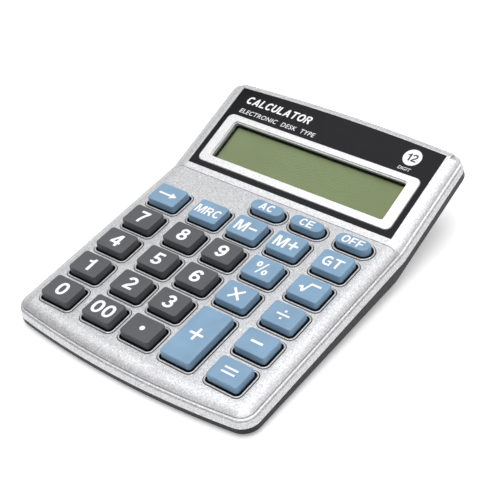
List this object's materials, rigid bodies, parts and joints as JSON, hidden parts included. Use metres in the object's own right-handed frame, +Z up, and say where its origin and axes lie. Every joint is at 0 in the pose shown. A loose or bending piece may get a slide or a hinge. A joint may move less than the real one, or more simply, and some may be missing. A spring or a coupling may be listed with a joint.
{
  "type": "desk calculator",
  "caption": "Tilted-display desk calculator with silver upper shell, raised dark and blue keys, and a battery housing underneath.",
  "frame": {"origin": "bottom centre of the whole calculator, on the table between its feet", "axes": "+X to the right across the keys, +Y from the user towards the display, +Z up"},
  "size_m": [0.1014, 0.1326, 0.0287],
  "materials": {
    "silver_shell": "metallic silver paint with fine sparkle",
    "dark_shell": "fine moulded grain",
    "black_gloss": "polished",
    "bezel_silver": "satin silver paint",
    "clear_lens": "clear polished",
    "polariser": "clear grey-green film",
    "lcd_glass": "clear",
    "lcd_reflector": "grey-green reflective film",
    "inner_plastic": "plain moulded",
    "ribbon_film": "printed polyester film",
    "key_rubber": "moulded silicone",
    "carbon_rubber": "conductive carbon",
    "board_laminate": "solder mask",
    "chip_resin": "cured resin",
    "component_tan": "ceramic body",
    "component_black": "ceramic body",
    "screw_steel": "zinc plated",
    "cell_can": "printed sleeve",
    "contact_metal": "nickel plated",
    "wire_red": "insulated",
    "wire_black": "insulated",
    "foot_rubber": "soft moulded",
    "key_blue": "moulded, lightly polished",
    "key_dark": "moulded, lightly polished"
  },
  "bodies": {
    "case": {"top_shell": "silver_shell", "bottom_shell": "dark_shell", "display_panel": "black_gloss", "window_bezel": "bezel_silver", "display_lens": "clear_lens", "lcd_front_polariser": "polariser", "lcd_front_glass": "lcd_glass", "lcd_rear_glass": "lcd_glass", "lcd_reflector": "lcd_reflector", "lcd_holder": "inner_plastic", "lcd_ribbon": "ribbon_film", "rubber_mat": "key_rubber", "carbon_pills": "carbon_rubber", "main_board": "board_laminate", "controller_chip": "chip_resin", "chip_capacitors": "component_tan", "chip_resistors": "component_black", "case_screws": "screw_steel", "board_screws": "screw_steel", "battery_cell": "cell_can", "positive_contact": "contact_metal", "negative_contact": "contact_metal", "positive_wire": "wire_red", "negative_wire": "wire_black", "rubber_feet": "foot_rubber"},
    "battery_door": {"battery_door": "dark_shell"},
    "key_zero": {"key_zero": "key_dark"},
    "key_double_zero": {"key_double_zero": "key_dark"},
    "key_point": {"key_point": "key_dark"},
    "key_plus": {"key_plus": "key_blue"},
    "key_equals": {"key_equals": "key_blue"},
    "key_one": {"key_one": "key_dark"},
    "key_two": {"key_two": "key_dark"},
    "key_three": {"key_three": "key_dark"},
    "key_minus": {"key_minus": "key_blue"},
    "key_four": {"key_four": "key_dark"},
    "key_five": {"key_five": "key_dark"},
    "key_six": {"key_six": "key_dark"},
    "key_times": {"key_times": "key_blue"},
    "key_divide": {"key_divide": "key_blue"},
    "key_seven": {"key_seven": "key_dark"},
    "key_eight": {"key_eight": "key_dark"},
    "key_nine": {"key_nine": "key_dark"},
    "key_percent": {"key_percent": "key_blue"},
    "key_root": {"key_root": "key_blue"},
    "key_arrow": {"key_arrow": "key_blue"},
    "key_recall": {"key_recall": "key_blue"},
    "key_memory_minus": {"key_memory_minus": "key_blue"},
    "key_memory_plus": {"key_memory_plus": "key_blue"},
    "key_grand_total": {"key_grand_total": "key_blue"},
    "key_all_clear": {"key_all_clear": "key_blue"},
    "key_clear_entry": {"key_clear_entry": "key_blue"},
    "key_off": {"key_off": "key_blue"}
  },
  "joints": [
    {"name": "zero_press", "type": "slide", "parent": "case", "child": "key_zero", "axis": [0, -0.0698, 0.9976], "range_m": [-0.0011, 0], "stiffness_N_per_m": 450, "springref_m": 0.0004, "deforming": ["rubber_mat", "carbon_pills"]},
    {"name": "double_zero_press", "type": "slide", "parent": "case", "child": "key_double_zero", "axis": [0, -0.0698, 0.9976], "range_m": [-0.0011, 0], "stiffness_N_per_m": 450, "springref_m": 0.0004, "deforming": ["rubber_mat", "carbon_pills"]},
    {"name": "point_press", "type": "slide", "parent": "case", "child": "key_point", "axis": [0, -0.0698, 0.9976], "range_m": [-0.0011, 0], "stiffness_N_per_m": 450, "springref_m": 0.0004, "deforming": ["rubber_mat", "carbon_pills"]},
    {"name": "plus_press", "type": "slide", "parent": "case", "child": "key_plus", "axis": [0, -0.0698, 0.9976], "range_m": [-0.0011, 0], "stiffness_N_per_m": 450, "springref_m": 0.0004, "deforming": ["rubber_mat", "carbon_pills"]},
    {"name": "equals_press", "type": "slide", "parent": "case", "child": "key_equals", "axis": [0, -0.0698, 0.9976], "range_m": [-0.0011, 0], "stiffness_N_per_m": 450, "springref_m": 0.0004, "deforming": ["rubber_mat", "carbon_pills"]},
    {"name": "one_press", "type": "slide", "parent": "case", "child": "key_one", "axis": [0, -0.0698, 0.9976], "range_m": [-0.0011, 0], "stiffness_N_per_m": 450, "springref_m": 0.0004, "deforming": ["rubber_mat", "carbon_pills"]},
    {"name": "two_press", "type": "slide", "parent": "case", "child": "key_two", "axis": [0, -0.0698, 0.9976], "range_m": [-0.0011, 0], "stiffness_N_per_m": 450, "springref_m": 0.0004, "deforming": ["rubber_mat", "carbon_pills"]},
    {"name": "three_press", "type": "slide", "parent": "case", "child": "key_three", "axis": [0, -0.0698, 0.9976], "range_m": [-0.0011, 0], "stiffness_N_per_m": 450, "springref_m": 0.0004, "deforming": ["rubber_mat", "carbon_pills"]},
    {"name": "minus_press", "type": "slide", "parent": "case", "child": "key_minus", "axis": [0, -0.0698, 0.9976], "range_m": [-0.0011, 0], "stiffness_N_per_m": 450, "springref_m": 0.0004, "deforming": ["rubber_mat", "carbon_pills"]},
    {"name": "four_press", "type": "slide", "parent": "case", "child": "key_four", "axis": [0, -0.0698, 0.9976], "range_m": [-0.0011, 0], "stiffness_N_per_m": 450, "springref_m": 0.0004, "deforming": ["rubber_mat", "carbon_pills"]},
    {"name": "five_press", "type": "slide", "parent": "case", "child": "key_five", "axis": [0, -0.0698, 0.9976], "range_m": [-0.0011, 0], "stiffness_N_per_m": 450, "springref_m": 0.0004, "deforming": ["rubber_mat", "carbon_pills"]},
    {"name": "six_press", "type": "slide", "parent": "case", "child": "key_six", "axis": [0, -0.0698, 0.9976], "range_m": [-0.0011, 0], "stiffness_N_per_m": 450, "springref_m": 0.0004, "deforming": ["rubber_mat", "carbon_pills"]},
    {"name": "times_press", "type": "slide", "parent": "case", "child": "key_times", "axis": [0, -0.0698, 0.9976], "range_m": [-0.0011, 0], "stiffness_N_per_m": 450, "springref_m": 0.0004, "deforming": ["rubber_mat", "carbon_pills"]},
    {"name": "divide_press", "type": "slide", "parent": "case", "child": "key_divide", "axis": [0, -0.0698, 0.9976], "range_m": [-0.0011, 0], "stiffness_N_per_m": 450, "springref_m": 0.0004, "deforming": ["rubber_mat", "carbon_pills"]},
    {"name": "seven_press", "type": "slide", "parent": "case", "child": "key_seven", "axis": [0, -0.0698, 0.9976], "range_m": [-0.0011, 0], "stiffness_N_per_m": 450, "springref_m": 0.0004, "deforming": ["rubber_mat", "carbon_pills"]},
    {"name": "eight_press", "type": "slide", "parent": "case", "child": "key_eight", "axis": [0, -0.0698, 0.9976], "range_m": [-0.0011, 0], "stiffness_N_per_m": 450, "springref_m": 0.0004, "deforming": ["rubber_mat", "carbon_pills"]},
    {"name": "nine_press", "type": "slide", "parent": "case", "child": "key_nine", "axis": [0, -0.0698, 0.9976], "range_m": [-0.0011, 0], "stiffness_N_per_m": 450, "springref_m": 0.0004, "deforming": ["rubber_mat", "carbon_pills"]},
    {"name": "percent_press", "type": "slide", "parent": "case", "child": "key_percent", "axis": [0, -0.0698, 0.9976], "range_m": [-0.0011, 0], "stiffness_N_per_m": 450, "springref_m": 0.0004, "deforming": ["rubber_mat", "carbon_pills"]},
    {"name": "root_press", "type": "slide", "parent": "case", "child": "key_root", "axis": [0, -0.0698, 0.9976], "range_m": [-0.0011, 0], "stiffness_N_per_m": 450, "springref_m": 0.0004, "deforming": ["rubber_mat", "carbon_pills"]},
    {"name": "arrow_press", "type": "slide", "parent": "case", "child": "key_arrow", "axis": [0, -0.0698, 0.9976], "range_m": [-0.0011, 0], "stiffness_N_per_m": 450, "springref_m": 0.0004, "deforming": ["rubber_mat", "carbon_pills"]},
    {"name": "recall_press", "type": "slide", "parent": "case", "child": "key_recall", "axis": [0, -0.0698, 0.9976], "range_m": [-0.0011, 0], "stiffness_N_per_m": 450, "springref_m": 0.0004, "deforming": ["rubber_mat", "carbon_pills"]},
    {"name": "memory_minus_press", "type": "slide", "parent": "case", "child": "key_memory_minus", "axis": [0, -0.0698, 0.9976], "range_m": [-0.0011, 0], "stiffness_N_per_m": 450, "springref_m": 0.0004, "deforming": ["rubber_mat", "carbon_pills"]},
    {"name": "memory_plus_press", "type": "slide", "parent": "case", "child": "key_memory_plus", "axis": [0, -0.0698, 0.9976], "range_m": [-0.0011, 0], "stiffness_N_per_m": 450, "springref_m": 0.0004, "deforming": ["rubber_mat", "carbon_pills"]},
    {"name": "grand_total_press", "type": "slide", "parent": "case", "child": "key_grand_total", "axis": [0, -0.0698, 0.9976], "range_m": [-0.0011, 0], "stiffness_N_per_m": 450, "springref_m": 0.0004, "deforming": ["rubber_mat", "carbon_pills"]},
    {"name": "all_clear_press", "type": "slide", "parent": "case", "child": "key_all_clear", "axis": [0, -0.0698, 0.9976], "range_m": [-0.0011, 0], "stiffness_N_per_m": 450, "springref_m": 0.0004, "deforming": ["rubber_mat", "carbon_pills"]},
    {"name": "clear_entry_press", "type": "slide", "parent": "case", "child": "key_clear_entry", "axis": [0, -0.0698, 0.9976], "range_m": [-0.0011, 0], "stiffness_N_per_m": 450, "springref_m": 0.0004, "deforming": ["rubber_mat", "carbon_pills"]},
    {"name": "off_press", "type": "slide", "parent": "case", "child": "key_off", "axis": [0, -0.0698, 0.9976], "range_m": [-0.0011, 0], "stiffness_N_per_m": 450, "springref_m": 0.0004, "deforming": ["rubber_mat", "carbon_pills"]},
    {"name": "battery_door_slide", "type": "slide", "parent": "case", "child": "battery_door", "axis": [0, 1, 0], "range_m": [0, 0.022]}
  ]
}
